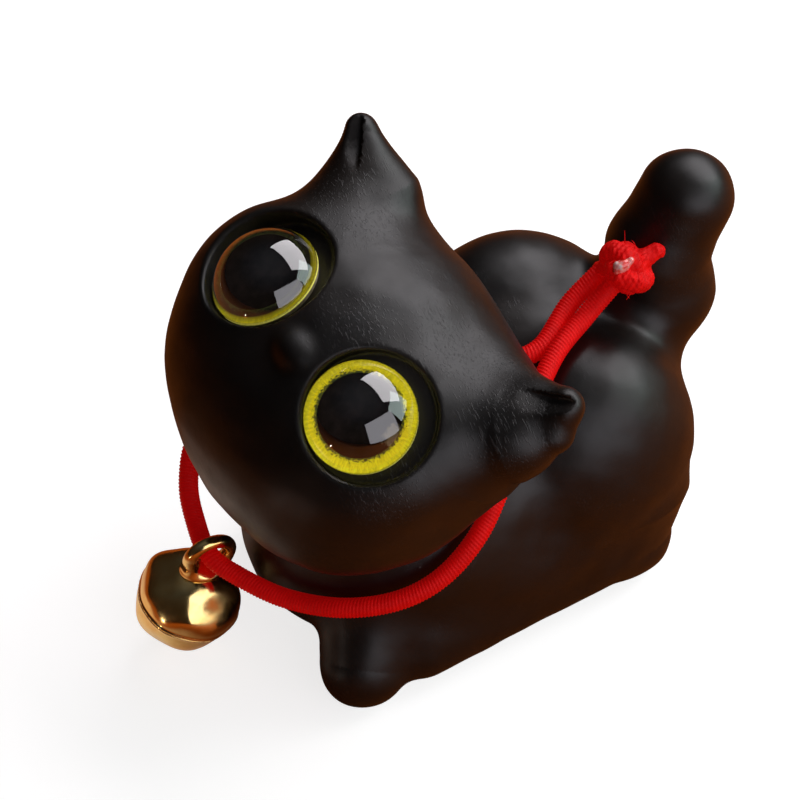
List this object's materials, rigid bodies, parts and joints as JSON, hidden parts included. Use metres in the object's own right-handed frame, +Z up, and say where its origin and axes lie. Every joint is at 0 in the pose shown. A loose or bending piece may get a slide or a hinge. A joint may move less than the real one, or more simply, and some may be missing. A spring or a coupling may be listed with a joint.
{
  "type": "cat figurine",
  "caption": "Small carved wooden cat standing on four short legs, head tipped up and aside, with domed glass eyes and a jingle bell on a red cord collar.",
  "frame": {"origin": "on the floor, under the middle of the whole figure's box", "axes": "+X to the cat's front, +Y to its left side, +Z up"},
  "size_m": [0.0499, 0.0308, 0.0368],
  "materials": {
    "ebony": "hand-rubbed satin, fine tool marks",
    "eye_glass": "polished clear dome",
    "iris_foil": "yellow printed ring",
    "pupil_black": "black printed disc",
    "glue": "dried clear glue",
    "red_cord": "ribbed woven cord",
    "melted_cord": "melted and set, glossy",
    "bell_brass": "polished, lightly dented",
    "steel": "plain"
  },
  "bodies": {
    "root": {"carving": "ebony", "eye_left_glass": "eye_glass", "eye_left_iris": "iris_foil", "eye_left_pupil": "pupil_black", "eye_left_glue": "glue", "eye_right_glass": "eye_glass", "eye_right_iris": "iris_foil", "eye_right_pupil": "pupil_black", "eye_right_glue": "glue", "collar_cord": "red_cord", "collar_knot": "red_cord", "knot_bead": "melted_cord"},
    "bell": {"bell_top": "bell_brass", "bell_bottom": "bell_brass", "bell_loop": "bell_brass"},
    "pea": {"bell_pea": "steel"}
  },
  "joints": [
    {"name": "bell_swing", "type": "hinge", "parent": "root", "child": "bell", "pos_m": [0.0193, -0.0022, 0.0098], "axis": [-0.0573, -0.9781, 0.1999], "range_deg": [-14, 75]},
    {"name": "pea_roll", "type": "hinge", "parent": "bell", "child": "pea", "pos_m": [0.02081, -0.00336, 0.00453], "axis": [-0.0573, -0.9781, 0.1999], "range_deg": [-60, 60]}
  ]
}
